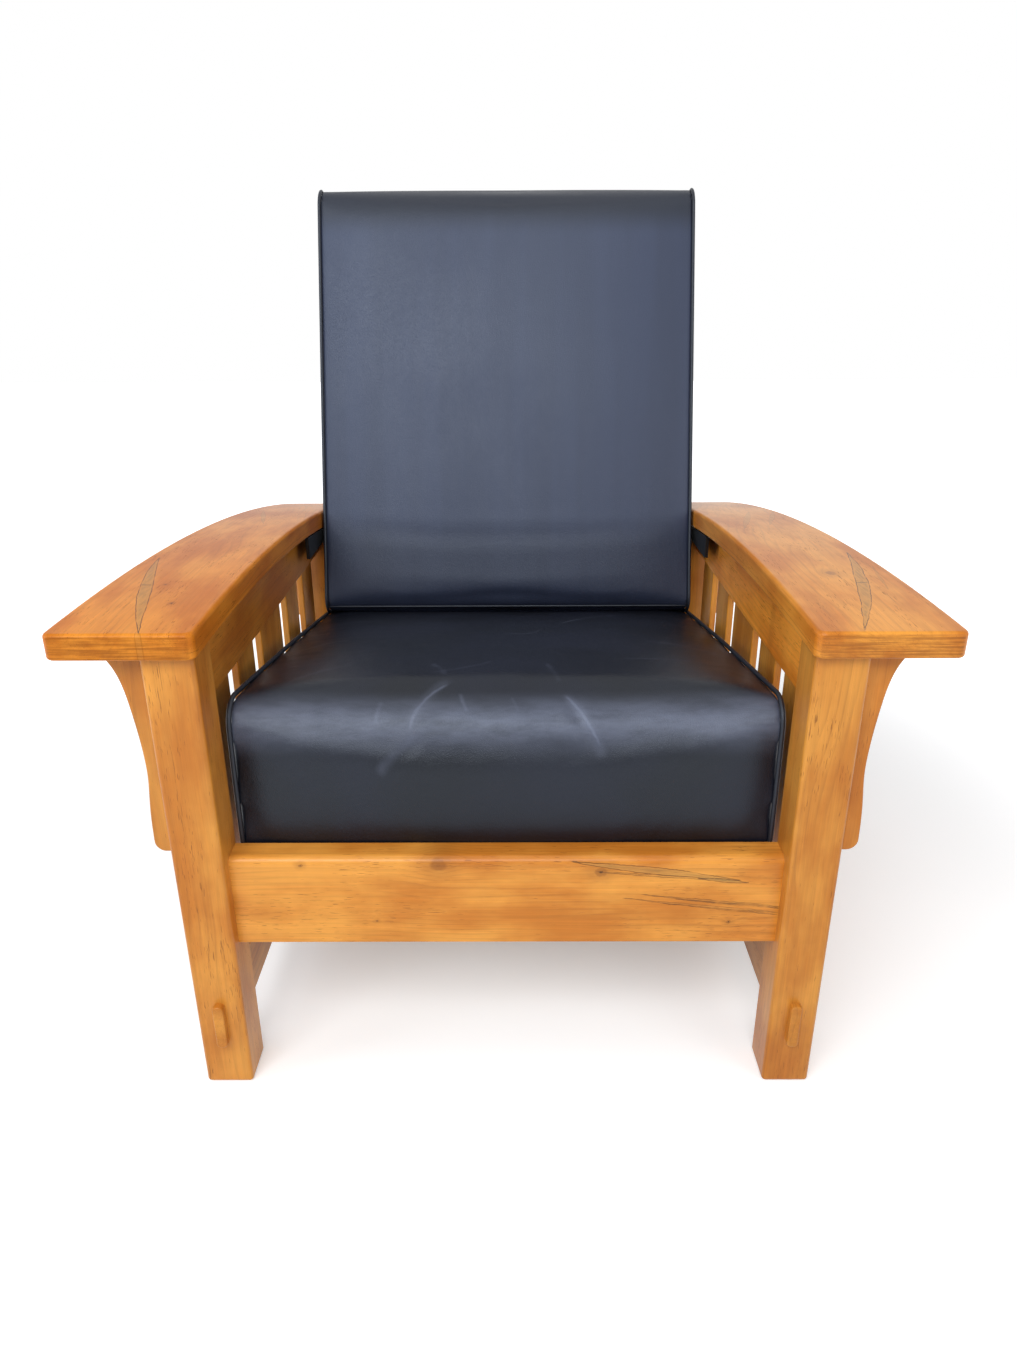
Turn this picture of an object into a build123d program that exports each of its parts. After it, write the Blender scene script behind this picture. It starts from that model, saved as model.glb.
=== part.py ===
from build123d import *
import math
import os

# A reclining armchair of the mission kind, with bowed arms and loose leather cushions.
# Lengths are in millimetres. The chair faces -Y and stands on Z = 0. While it is drawn, Y = 0 is the
# front face of the front legs; at the end all pieces are moved so that the origin is at the middle
# of the floor under the chair. Right is +X, as seen from in front. Pieces are drawn for the right
# side and mirrored to the left.

# Side frames
frame_width = 735.0
frame_depth = 774.0
leg_side = 56.0
leg_edge_radius = 5.0
leg_tenon_side = 30.0

# Bowed arms: the top follows a circle seen from the side
arm_peak_y = 173.0
arm_peak_z = 592.0
arm_rear_drop = 77.07
arm_thickness = 28.0
arm_front_width = 150.5
arm_rear_width = 122.0
arm_inner_overhang = 6.0
arm_front_overhang = 13.4
arm_rear_overhang = 166.0
arm_corner_radius = 10.0
arm_top_edge_radius = 3.0
arm_low_edge_radius = 5.0

# Front and rear seat rails
front_rail_setback = 17.4
front_rail_thickness = 33.0
front_rail_low_z = 195.0
front_rail_high_z = 310.0
front_rail_top_radius = 10.0
rail_edge_radius = 2.5
rear_rail_thickness = 28.0
rear_rail_high_z = 222.0
rear_rail_height = 95.0
rail_tenon_thickness = 13.0
rail_tenon_depth = 30.0
rail_tenon_shoulder = 14.0

# Lower side rails, whose tenons come out through the legs, and the aprons under the arms
side_rail_thickness = 22.0
lower_rail_low_z = 56.0
lower_rail_high_z = 128.0
through_tenon_shoulder = 6.0
through_tenon_reach = 9.0
through_tenon_radius = 5.5
through_tenon_end_radius = 2.0
apron_low_z = 477.0
apron_tenon_shoulder = 8.0
apron_tenon_height = 30.0

# Slats of the sides: the middle one is wide
slats_per_side = 5
slat_thickness = 9.5
slat_width = 74.0
middle_slat_width = 112.0
slat_mortise_depth = 12.0
slat_edge_radius = 1.5

# Corbels outside the legs: widths out from the leg's face, from the toe up to the top
corbel_thickness = 21.0
corbel_foot_width = 23.0
corbel_waist_width = 18.3
corbel_upper_width = 24.5
corbel_shoulder_width = 38.0
corbel_top_width = 62.0
corbel_height_shares = (0.047, 0.36, 0.645, 0.83, 1.0)
corbel_top_slope_share = 1.6
front_corbel_low_z = 320.0
rear_corbel_low_z = 356.0
corbel_edge_radius = 2.0

# Seat deck: slats on two side rails, falling to the rear
deck_front_z = 300.0
deck_slope_deg = 5.5
deck_slats = 8
deck_slat_width = 58.0
deck_slat_thickness = 14.0
deck_slat_end_clearance = 2.5
deck_rear_margin = 8.0
seat_rail_thickness = 22.0
seat_rail_height = 62.0

# Seat cushion
seat_cushion_side_clearance = 3.5
seat_cushion_front_y = 54.0
seat_cushion_behind = 70.0
seat_cushion_front_height = 187.0
seat_cushion_rear_height = 138.0
seat_cushion_front_radius = 50.0
seat_cushion_seam_radius = 30.0
seat_cushion_rear_radius = 28.0
seat_cushion_front_lean = 12.0
seat_cushion_crown = 13.0
seat_cushion_swell = 7.0
cushion_gap = 0.3

# Back frame, which turns on two pins through the rear legs
recline_deg = 17.84
pivot_in_leg = 18.0
pivot_z = 325.0
back_side_clearance = 13.5
stile_width = 45.0
stile_thickness = 30.0
stile_below_pivot = 24.0
stile_above_pivot = 690.0
stile_edge_radius = 3.0
back_rail_thickness = 22.0
back_rail_height = 70.0
back_rail_end_margin = 12.0
back_bottom_rail_low = 30.0
back_slats = 4
back_slat_height = 58.0
back_slat_thickness = 12.0
back_tenon_depth = 24.0
back_tenon_share = 0.5
back_tenon_shoulder_share = 0.15

# Back cushion
back_cushion_plate_gap = 1.5
back_cushion_length = 677.0
back_cushion_height = 138.0
back_cushion_low = 42.0
back_cushion_radius = 34.0
back_cushion_crown = 12.0
back_cushion_swell = 5.0

# Pivot pins and their spacers
pin_radius = 6.35
pin_running_clearance = 0.06
pin_depth_in_stile = 38.0
pin_head_radius = 11.0
pin_head_height = 5.0
spacer_radius = 13.0
spacer_running_gap = 0.3

# Racks: a wooden block and a notched steel plate under each arm's rear end, and the support bar
rack_block_thickness = 22.0
rack_block_low_z = 436.0
rack_block_length = 151.0
rack_block_radius = 22.0
plate_thickness = 5.0
plate_front_reach = 173.0
plate_front_low_z = 511.0
plate_bend_reach = 53.0
plate_leg_low_z = 470.0
plate_low_z = 432.0
plate_rear_reach = 134.0
plate_arm_gap = 1.0
bar_radius = 8.0
bar_end_gap = 0.3
bar_running_gap = 0.3
bar_z = 470.0
recline_range_deg = 20.0
rack_notches = 4
notch_depth = 5.0
rack_horn_height = 10.0
rack_throat_margin = 12.0

# Screws
screw_radius = 2.2
screw_length = 34.0
screw_head_radius = 4.4
screw_head_height = 2.8
plate_screw_length = 18.0
plate_screw_inset = 16.0

inner_x = frame_width / 2 - leg_side
outer_x = frame_width / 2
side_x = frame_width / 2 - leg_side / 2
rear_leg_y = frame_depth - leg_side
rail_back_y = front_rail_setback + front_rail_thickness
arm_rear_y = frame_depth + arm_rear_overhang
bow_length = arm_rear_y - arm_peak_y
arm_bow_radius = (bow_length**2 + arm_rear_drop**2) / (2 * arm_rear_drop)
pivot_y = rear_leg_y + pivot_in_leg
seat_cushion_length = pivot_y - seat_cushion_behind - seat_cushion_front_y
seat_cushion_width = 2 * (inner_x - seat_cushion_side_clearance)
deck_slat_length = 2 * (inner_x - deck_slat_end_clearance)
stile_outer_x = inner_x - back_side_clearance
back_cushion_width = 2 * (inner_x - plate_thickness - back_cushion_plate_gap)
rack_block_rear_y = frame_depth + rack_block_length
plate_front_y = rear_leg_y - plate_front_reach
plate_bend_y = rear_leg_y - plate_bend_reach
plate_rear_y = frame_depth + plate_rear_reach
slope = math.radians(deck_slope_deg)
diagonal = math.sin(math.radians(45))
upward = (Align.CENTER, Align.CENTER, Align.MIN)
downward = (Align.CENTER, Align.CENTER, Align.MAX)
pieces = {}


def plank(low, high, along=None, radius=0.0):
    """A board between two corners, with the edges along one axis rounded over."""
    size = [b - a for a, b in zip(low, high)]
    middle = [(a + b) / 2 for a, b in zip(low, high)]
    board = Pos(*middle) * Box(*size)
    if radius:
        board = fillet(board.edges().filter_by(along), radius)
    return board


def below_bow(drop):
    """Everything under the arms' bow, a given depth below their top."""
    disc = Plane.YZ * Pos(arm_peak_y, arm_peak_z - arm_bow_radius) * Circle(arm_bow_radius - drop)
    return extrude(disc, frame_width, both=True)


def arm_top_z(y):
    rise = math.sqrt(arm_bow_radius**2 - (y - arm_peak_y) ** 2)
    return arm_peak_z - arm_bow_radius + rise


def profile_solid(line, x_low, x_high):
    """A closed outline in Y and Z, stood up between two places along X."""
    face = make_face(Plane.YZ.offset(x_low) * line)
    return extrude(face, x_high - x_low)


def both_sides(name, piece):
    pieces[name + "_right"] = piece
    pieces[name + "_left"] = mirror(piece, about=Plane.YZ)


def deck_z(y):
    return deck_front_z - (y - seat_cushion_front_y) * math.tan(slope)


under_arm = below_bow(arm_thickness)
in_arm = below_bow(arm_thickness / 2)


# Side slats, spaced with equal gaps between the legs
def slat_places():
    widths = [slat_width] * slats_per_side
    widths[slats_per_side // 2] = middle_slat_width
    gap = (rear_leg_y - leg_side - sum(widths)) / (slats_per_side + 1)
    places = []
    y = leg_side
    for width in widths:
        places.append((y + gap, y + gap + width))
        y += gap + width
    return places


side_slats = [
    plank(
        (side_x - slat_thickness / 2, y0, lower_rail_high_z - slat_mortise_depth),
        (side_x + slat_thickness / 2, y1, apron_low_z + slat_mortise_depth),
        Axis.Z,
        slat_edge_radius,
    )
    for y0, y1 in slat_places()
]


# Lower side rail with a through tenon at each end
def lower_side_rail():
    half = side_rail_thickness / 2
    rail = plank(
        (side_x - half, leg_side, lower_rail_low_z),
        (side_x + half, rear_leg_y, lower_rail_high_z),
        Axis.Y,
        rail_edge_radius,
    )
    half = rail_tenon_thickness / 2
    tenon = plank(
        (side_x - half, -through_tenon_reach, lower_rail_low_z + through_tenon_shoulder),
        (side_x + half, frame_depth + through_tenon_reach, lower_rail_high_z - through_tenon_shoulder),
        Axis.Y,
        through_tenon_radius,
    )
    ends = tenon.faces().filter_by(Axis.Y).edges()
    return rail + fillet(ends, through_tenon_end_radius), tenon


# Apron under the arm, with its top cut to the bow
def apron():
    half = side_rail_thickness / 2
    board = plank(
        (side_x - half, leg_side, apron_low_z), (side_x + half, rear_leg_y, arm_peak_z), Axis.Y
    )
    tenon_half = rail_tenon_thickness / 2
    tenon_low = apron_low_z + apron_tenon_shoulder
    tenon = plank(
        (side_x - tenon_half, leg_side - rail_tenon_depth, tenon_low),
        (side_x + tenon_half, rear_leg_y + rail_tenon_depth, tenon_low + apron_tenon_height),
    )
    low_edges = board.edges().filter_by(Axis.Y).group_by(Axis.Z)[0]
    return (fillet(low_edges, rail_edge_radius) & under_arm) + tenon, tenon


# Front and rear seat rails
def cross_rail(y_low, y_high, z_low, z_high, top_radius):
    rail = plank((-inner_x, y_low, z_low), (inner_x, y_high, z_high))
    long_edges = rail.edges().filter_by(Axis.X)
    top_front = long_edges.group_by(Axis.Z)[-1].sort_by(Axis.Y)[0]
    rail = fillet(top_front, top_radius)
    others = rail.edges().filter_by(Axis.X).group_by(Axis.Z)[0]
    rail = fillet(others, rail_edge_radius)
    half = rail_tenon_thickness / 2
    middle_y = (y_low + y_high) / 2
    tenon = plank(
        (-inner_x - rail_tenon_depth, middle_y - half, z_low + rail_tenon_shoulder),
        (inner_x + rail_tenon_depth, middle_y + half, z_high - rail_tenon_shoulder),
    )
    return rail + tenon, tenon


lower_rail, lower_tenon = lower_side_rail()
apron_board, apron_tenon = apron()
front_rail, front_tenon = cross_rail(
    front_rail_setback, rail_back_y, front_rail_low_z, front_rail_high_z, front_rail_top_radius
)
rear_rail_y = rear_leg_y + (leg_side - rear_rail_thickness) / 2
rear_rail, rear_tenon = cross_rail(
    rear_rail_y,
    rear_rail_y + rear_rail_thickness,
    rear_rail_high_z - rear_rail_height,
    rear_rail_high_z,
    rail_edge_radius,
)


# Pivot pins, fixed in the rear legs
def pivot_pin():
    shank_end = stile_outer_x - pin_depth_in_stile
    shank = Cylinder(pin_radius, outer_x - shank_end, align=upward)
    head = Pos(0, 0, outer_x - shank_end) * Cylinder(pin_head_radius, pin_head_height, align=upward)
    head = fillet(head.edges().group_by(Axis.Z)[-1], pin_head_height / 2)
    return Pos(shank_end, pivot_y, pivot_z) * Rot(0, 90, 0) * (shank + head)


def pivot_spacer():
    length = inner_x - stile_outer_x - spacer_running_gap
    tube = Cylinder(spacer_radius, length) - Cylinder(pin_radius, length)
    return Pos(inner_x - length / 2, pivot_y, pivot_z) * Rot(0, 90, 0) * tube


pin = pivot_pin()


# Legs, mortised for every rail and topped with a tenon into the arm
def leg(y_low, tenons):
    post = plank((inner_x, y_low, 0), (outer_x, y_low + leg_side, arm_peak_z))
    rounded = post.edges().filter_by(Axis.Z) + post.faces().sort_by(Axis.Z)[0].edges()
    post = fillet(rounded, leg_edge_radius)
    middle_y = y_low + leg_side / 2
    half = leg_tenon_side / 2
    tenon = plank(
        (side_x - half, middle_y - half, apron_low_z), (side_x + half, middle_y + half, arm_peak_z)
    )
    top = tenon & in_arm
    post = (post & under_arm) + top
    for cutter in tenons:
        post -= cutter
    return post, top


front_leg, front_leg_top = leg(0, [lower_tenon, apron_tenon, front_tenon])
rear_leg, rear_leg_top = leg(rear_leg_y, [lower_tenon, apron_tenon, rear_tenon, pin])


# Arm, a board between two circles, narrowing to the rear
def arm():
    inner = inner_x - arm_inner_overhang
    front = -arm_front_overhang
    outline = make_face(
        Polyline(
            (inner, front),
            (inner + arm_front_width, front),
            (inner + arm_rear_width, arm_rear_y),
            (inner, arm_rear_y),
            close=True,
        )
    )
    plan = extrude(outline, arm_peak_z + arm_thickness)
    plan = fillet(plan.edges().filter_by(Axis.Z), arm_corner_radius)
    board = (plan & below_bow(0)) - under_arm
    low_face, top_face = board.faces().filter_by(GeomType.CYLINDER).sort_by(SortBy.AREA)[-2:]
    board = fillet(low_face.edges(), arm_low_edge_radius)
    top_face = board.faces().filter_by(GeomType.CYLINDER).sort_by(SortBy.AREA)[-1]
    board = fillet(top_face.edges(), arm_top_edge_radius)
    return board - front_leg_top - rear_leg_top


# Corbel outside a leg: a hollow sweep above, a slight swelling and a rounded toe below
def corbel(middle_y, low_z):
    rise = arm_top_z(middle_y) - low_z
    foot_z, waist_z, upper_z, shoulder_z, top_z = [low_z + rise * s for s in corbel_height_shares]
    toe = foot_z - low_z
    sweep = Spline(
        (corbel_top_width, top_z),
        (corbel_shoulder_width, shoulder_z),
        (corbel_upper_width, upper_z),
        (corbel_waist_width, waist_z),
        (corbel_foot_width, foot_z),
        tangents=((-corbel_top_width, -rise * corbel_top_slope_share), (0, -1)),
    )
    toe_arc = ThreePointArc(
        (corbel_foot_width, foot_z),
        (corbel_foot_width - toe * (1 - diagonal), foot_z - toe * diagonal),
        (corbel_foot_width - toe, low_z),
    )
    rest = Polyline(
        (corbel_foot_width - toe, low_z), (0, low_z), (0, top_z), (corbel_top_width, top_z)
    )
    plane = Plane(origin=(outer_x, middle_y, 0), x_dir=(1, 0, 0), z_dir=(0, -1, 0))
    board = extrude(plane * make_face(sweep + toe_arc + rest), corbel_thickness / 2, both=True)
    curved = board.edges().filter_by(GeomType.BSPLINE) + board.edges().filter_by(GeomType.CIRCLE)
    return fillet(curved, corbel_edge_radius) & under_arm


both_sides("front_leg", front_leg)
both_sides("rear_leg", rear_leg)
both_sides("arm", arm())
both_sides("front_corbel", corbel(leg_side / 2, front_corbel_low_z))
both_sides("rear_corbel", corbel(rear_leg_y + leg_side / 2, rear_corbel_low_z))
for number, slat in enumerate(side_slats, 1):
    both_sides(f"side_slat_{number}", slat)
    lower_rail -= slat
    apron_board -= slat
both_sides("lower_side_rail", lower_rail)
both_sides("side_apron", apron_board)
both_sides("pivot_pin", pin)
both_sides("pivot_spacer", pivot_spacer())


# Screw with a countersunk head, its top face at the origin and its point down
def screw(length):
    head = Cone(screw_radius, screw_head_radius, screw_head_height, align=downward)
    shank = Cylinder(screw_radius, length, align=downward)
    return head + shank


# Seat deck
seat_tilt = Pos(0, seat_cushion_front_y, deck_front_z) * Rot(-deck_slope_deg, 0, 0)


def seat_side_rail():
    drop = deck_slat_thickness / math.cos(slope)
    ends = [(y, deck_z(y) - drop) for y in (rail_back_y, rear_rail_y)]
    line = Polyline(
        ends[0],
        ends[1],
        (ends[1][0], ends[1][1] - seat_rail_height),
        (ends[0][0], ends[0][1] - seat_rail_height),
        close=True,
    )
    return profile_solid(line, inner_x - seat_rail_thickness, inner_x)


def deck_slat_places():
    length = (rear_rail_y - deck_rear_margin - seat_cushion_front_y) / math.cos(slope)
    pitch = (length - deck_slat_width) / (deck_slats - 1)
    return [pitch * i for i in range(deck_slats)]


def deck():
    rail = seat_side_rail()
    screws = []
    screw_x = inner_x - seat_rail_thickness / 2
    for number, place in enumerate(deck_slat_places(), 1):
        slat = plank(
            (-deck_slat_length / 2, place, -deck_slat_thickness),
            (deck_slat_length / 2, place + deck_slat_width, 0),
            Axis.X,
            slat_edge_radius,
        )
        slat = seat_tilt * slat
        for x in (-screw_x, screw_x):
            one = seat_tilt * Pos(x, place + deck_slat_width / 2, 0) * screw(screw_length)
            slat -= one
            screws.append(one)
            if x > 0:
                rail -= one
        pieces[f"seat_slat_{number}"] = slat
    both_sides("seat_side_rail", rail)
    pieces["seat_slat_screws"] = screws


deck()
pieces["front_rail"] = front_rail
pieces["rear_rail"] = rear_rail


# Cushions: boxed sections side by side, fullest in the middle, lofted across the width
def cushion_section(x, length, front, rear, front_radius, rear_radius, lean, crown, swell):
    """Lying flat: Y runs from the front edge to the rear edge, Z is the height over its bed."""
    tall_front = front - front_radius
    tall_rear = rear - rear_radius
    line = Line((length, 0), (0, 0))
    line += ThreePointArc((0, 0), (-swell - lean / 2, tall_front / 2), (-lean, tall_front))
    line += ThreePointArc(
        (-lean, tall_front),
        (front_radius * (1 - diagonal) - lean, tall_front + front_radius * diagonal + crown / 2),
        (front_radius - lean, front + crown / 2),
    )
    line += ThreePointArc(
        (front_radius - lean, front + crown / 2),
        (length / 2, (front + rear) / 2 + crown),
        (length - rear_radius, rear + crown / 2),
    )
    line += ThreePointArc(
        (length - rear_radius, rear + crown / 2),
        (length - rear_radius * (1 - diagonal), tall_rear + rear_radius * diagonal + crown / 2),
        (length, tall_rear),
    )
    line += Line((length, tall_rear), (length, 0))
    return make_face(Plane.YZ.offset(x) * line)


section_shares = (-1.0, -0.93, -0.6, 0.0, 0.6, 0.93, 1.0)
side_height_share = 0.97
side_crown_share = 0.2


def cushion(width, length, front, rear, front_radius, seam_radius, rear_radius, lean, crown, swell):
    sections = []
    for share in section_shares:
        full = 1 - abs(share) ** 3
        height_share = side_height_share + (1 - side_height_share) * full
        crown_share = side_crown_share + (1 - side_crown_share) * full
        sections.append(
            cushion_section(
                share * width / 2,
                length,
                front * height_share,
                rear * height_share,
                seam_radius + (front_radius - seam_radius) * full,
                rear_radius,
                lean,
                crown * crown_share,
                swell * crown_share,
            )
        )
    return loft(sections)


seat_cushion = cushion(
    seat_cushion_width,
    seat_cushion_length,
    seat_cushion_front_height,
    seat_cushion_rear_height,
    seat_cushion_front_radius,
    seat_cushion_seam_radius,
    seat_cushion_rear_radius,
    seat_cushion_front_lean,
    seat_cushion_crown,
    seat_cushion_swell,
)
pieces["seat_cushion"] = seat_tilt * Pos(0, 0, cushion_gap) * seat_cushion

# Back, drawn upright about the pivot and then leaned to the rear
back_place = Pos(0, pivot_y, pivot_z) * Rot(-recline_deg, 0, 0)


def back_rail(low, height, thickness, radius):
    """A cross piece of the back frame, with a tenon at each end."""
    reach = stile_outer_x - stile_width
    board = plank(
        (-reach, -thickness / 2, low), (reach, thickness / 2, low + height), Axis.X, radius
    )
    shoulder = height * back_tenon_shoulder_share
    half = thickness * back_tenon_share / 2
    tenon = plank(
        (-reach - back_tenon_depth, -half, low + shoulder),
        (reach + back_tenon_depth, half, low + height - shoulder),
    )
    return board + tenon, tenon


def back_frame():
    stile = plank(
        (stile_outer_x - stile_width, -stile_thickness / 2, -stile_below_pivot),
        (stile_outer_x, stile_thickness / 2, stile_above_pivot),
        Axis.Z,
        stile_edge_radius,
    )
    stile = fillet(stile.edges().filter_by(Axis.X), stile_edge_radius)
    bore = pin_radius + pin_running_clearance
    hole = Cylinder(bore, pin_depth_in_stile + pin_running_clearance, align=downward)
    stile -= Pos(stile_outer_x, 0, 0) * Rot(0, 90, 0) * hole
    top_low = stile_above_pivot - back_rail_end_margin - back_rail_height
    section = (back_rail_height, back_rail_thickness, stile_edge_radius)
    rails = {"back_top_rail": (top_low, *section), "back_bottom_rail": (back_bottom_rail_low, *section)}
    first_gap_low = back_bottom_rail_low + back_rail_height
    gap = (top_low - first_gap_low - back_slats * back_slat_height) / (back_slats + 1)
    for number in range(1, back_slats + 1):
        low = first_gap_low + gap * number + back_slat_height * (number - 1)
        rails[f"back_slat_{number}"] = (low, back_slat_height, back_slat_thickness, slat_edge_radius)
    for name, sizes in rails.items():
        rail, tenon = back_rail(*sizes)
        pieces[name] = back_place * rail
        stile -= tenon
    both_sides("back_stile", back_place * stile)


back_frame()
back_cushion = cushion(
    back_cushion_width,
    back_cushion_length,
    back_cushion_height,
    back_cushion_height,
    back_cushion_radius,
    back_cushion_radius,
    back_cushion_radius,
    0,
    back_cushion_crown,
    back_cushion_swell,
)
bed = Pos(0, -stile_thickness / 2 - cushion_gap, back_cushion_low) * Rot(90, 0, 0)
pieces["back_cushion"] = back_place * bed * back_cushion

# Racks and support bar


def bar_y(angle_deg):
    """Where the bar's axis lies when it touches the rear of the stiles at a recline."""
    angle = math.radians(angle_deg)
    offset = stile_thickness / 2 + bar_running_gap + bar_radius
    return pivot_y + (bar_z - pivot_z) * math.tan(angle) + offset / math.cos(angle)


bar_rest_y = bar_y(recline_deg)
bar_last_y = bar_y(recline_deg + recline_range_deg)


def rack_plate():
    seat_z = bar_z - bar_radius - bar_running_gap
    throat_front = bar_rest_y - bar_radius - rack_throat_margin
    throat_rear = bar_last_y + bar_radius + bar_running_gap
    line = Polyline(
        (plate_front_y, plate_front_low_z),
        (plate_bend_y, plate_front_low_z),
        (rear_leg_y, plate_leg_low_z),
        (frame_depth, plate_low_z),
        (plate_rear_y, plate_low_z),
        (plate_rear_y, seat_z + rack_horn_height),
        (throat_rear, seat_z + rack_horn_height),
        (throat_rear, seat_z),
        (throat_front, seat_z),
        (throat_front, arm_peak_z),
        (plate_front_y, arm_peak_z),
        close=True,
    )
    plate = profile_solid(line, inner_x - plate_thickness, inner_x)
    plate = plate & below_bow(arm_thickness + plate_arm_gap)
    for number in range(rack_notches):
        step = recline_range_deg * number / (rack_notches - 1)
        notch = Pos(inner_x, bar_y(recline_deg + step), bar_z - notch_depth) * Rot(0, 90, 0)
        plate -= notch * Cylinder(bar_radius + bar_running_gap, plate_thickness * 2)
    return plate


def rack_block():
    block = plank(
        (inner_x, frame_depth, rack_block_low_z),
        (inner_x + rack_block_thickness, rack_block_rear_y, arm_peak_z),
    )
    rear_low = block.edges().filter_by(Axis.X).sort_by(lambda e: e.center().Y - e.center().Z)[-1]
    return fillet(rear_low, rack_block_radius) & under_arm


def rack():
    plate = rack_plate()
    block = rack_block()
    leg_right = pieces["rear_leg_right"]
    low_z = (plate_low_z + bar_z - bar_radius - notch_depth) / 2
    places = [
        (rear_leg_y + plate_screw_inset, plate_leg_low_z + plate_screw_inset),
        (frame_depth - plate_screw_inset, plate_leg_low_z),
        (frame_depth + plate_screw_inset, low_z),
        (plate_rear_y - plate_screw_inset, low_z),
    ]
    screws = []
    for y, z in places:
        one = Pos(inner_x - plate_thickness, y, z) * Rot(0, -90, 0) * screw(plate_screw_length)
        plate -= one
        block -= one
        leg_right -= one
        screws.append(one)
    both_sides("rack_plate", plate)
    both_sides("rack_block", block)
    both_sides("rear_leg", leg_right)
    pieces["rack_screws"] = screws + [mirror(s, about=Plane.YZ) for s in screws]


rack()
bar_length = 2 * (inner_x - bar_end_gap)
pieces["support_bar"] = Pos(0, bar_rest_y, bar_z) * Rot(0, 90, 0) * Cylinder(bar_radius, bar_length)

# The origin goes to the middle of the floor under the chair
whole = [s for piece in pieces.values() for s in (piece if isinstance(piece, list) else [piece])]
boxes = [s.bounding_box() for s in whole]
middle_y = (min(b.min.Y for b in boxes) + max(b.max.Y for b in boxes)) / 2
os.makedirs("parts", exist_ok=True)
for name, piece in pieces.items():
    solids = piece if isinstance(piece, list) else [piece]
    moved = Pos(0, -middle_y, 0) * Compound(children=[s for p in solids for s in p.solids()])
    export_step(moved, f"parts/{name}.step")

print("middle of the length", round(middle_y, 4))
print("pivot", round(pivot_y - middle_y, 4), pivot_z)
print("bar at rest", round(bar_rest_y - middle_y, 4), "travel", round(bar_last_y - bar_rest_y, 4))
millimetres_per_radian = (bar_last_y - bar_rest_y) / math.radians(recline_range_deg)
print("bar millimetres per radian of recline", round(millimetres_per_radian, 3))
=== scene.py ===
import math
import random

import bmesh
import bpy
import numpy as np
from mathutils import Matrix, Vector


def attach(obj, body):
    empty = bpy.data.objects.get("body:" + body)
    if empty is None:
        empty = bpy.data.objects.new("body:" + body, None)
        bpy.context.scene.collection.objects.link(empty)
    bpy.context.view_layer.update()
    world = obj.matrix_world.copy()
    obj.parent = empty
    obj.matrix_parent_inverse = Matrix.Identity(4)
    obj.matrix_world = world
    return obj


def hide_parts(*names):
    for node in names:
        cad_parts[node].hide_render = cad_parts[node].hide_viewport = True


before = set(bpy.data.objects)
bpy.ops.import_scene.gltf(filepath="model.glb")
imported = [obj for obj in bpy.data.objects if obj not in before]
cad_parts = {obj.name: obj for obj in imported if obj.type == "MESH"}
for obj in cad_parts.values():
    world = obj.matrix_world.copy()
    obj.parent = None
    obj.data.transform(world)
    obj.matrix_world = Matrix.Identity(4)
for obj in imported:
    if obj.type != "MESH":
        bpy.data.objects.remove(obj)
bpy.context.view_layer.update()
scene = bpy.context.scene
print("frame loaded:", len(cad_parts), "nodes")

frontFace = -0.4737461  # Y of the front legs' front faces


# Camera
cameraSetup = {
    "lens": 24.935,
    "sensor": 36.0,
    "place": (0.007689, -1.34954, 0.8974),
    "pitch": 0.3925,
    "yaw": -0.0045,
    "roll": -0.0046,
    "clipStart": 0.05,
}


def makeCamera(setup):
    pitch, yaw, roll = setup["pitch"], setup["yaw"], setup["roll"]
    level = math.cos(pitch)
    ahead = Vector((math.sin(yaw) * level, math.cos(yaw) * level, -math.sin(pitch)))
    sideways = Vector((math.cos(yaw), -math.sin(yaw), 0))
    upright = sideways.cross(ahead)
    right = math.cos(roll) * sideways + math.sin(roll) * upright
    up = -math.sin(roll) * sideways + math.cos(roll) * upright
    data = bpy.data.cameras.new("camera")
    data.lens = setup["lens"]
    data.sensor_width = setup["sensor"]
    data.sensor_fit = "AUTO"
    data.clip_start = setup["clipStart"]
    camera = bpy.data.objects.new("camera", data)
    turn = Matrix((right, up, -ahead)).transposed().to_4x4()
    camera.matrix_world = Matrix.Translation(setup["place"]) @ turn
    scene.collection.objects.link(camera)
    scene.camera = camera


makeCamera(cameraSetup)
scene.view_settings.view_transform = "Standard"


# Small helpers for shader nodes
def feed(tree, socket, value):  # value is a constant or an output socket
    if isinstance(value, bpy.types.NodeSocket):
        tree.links.new(value, socket)
    else:
        socket.default_value = value


# values are pairs of an input's name or number and what feeds it
def addNode(tree, kind, values=(), **settings):
    node = tree.nodes.new(kind)
    for key, value in settings.items():
        setattr(node, key, value)
    for key, value in values:
        feed(tree, node.inputs[key], value)
    return node


def objectPlace(tree):
    return tree.nodes.new("ShaderNodeTexCoord").outputs["Object"]


def axesOf(tree, vector):
    return addNode(tree, "ShaderNodeSeparateXYZ", ((0, vector),)).outputs


def joinAxes(tree, *values):
    return addNode(tree, "ShaderNodeCombineXYZ", enumerate(values)).outputs[0]


def calc(tree, operation, *values, clamp=False):
    pairs = list(enumerate(values))
    return addNode(tree, "ShaderNodeMath", pairs, operation=operation, use_clamp=clamp).outputs[0]


def vecCalc(tree, operation, *values, output=0):
    pairs = list(enumerate(values))
    return addNode(tree, "ShaderNodeVectorMath", pairs, operation=operation).outputs[output]


def scaled(tree, vector, factors):
    return vecCalc(tree, "MULTIPLY", vector, factors)


def noiseOf(tree, vector, scale=1.0, detail=2.0, rough=0.5):
    pairs = (("Vector", vector), ("Scale", scale), ("Detail", detail), ("Roughness", rough))
    return addNode(tree, "ShaderNodeTexNoise", pairs).outputs["Fac"]


def remap(tree, value, low, high, toLow=0.0, toHigh=1.0, smooth=True):
    labels = ("Value", "From Min", "From Max", "To Min", "To Max")
    pairs = zip(labels, (value, low, high, toLow, toHigh))
    kind = "SMOOTHSTEP" if smooth else "LINEAR"
    return addNode(tree, "ShaderNodeMapRange", pairs, interpolation_type=kind).outputs["Result"]


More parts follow.
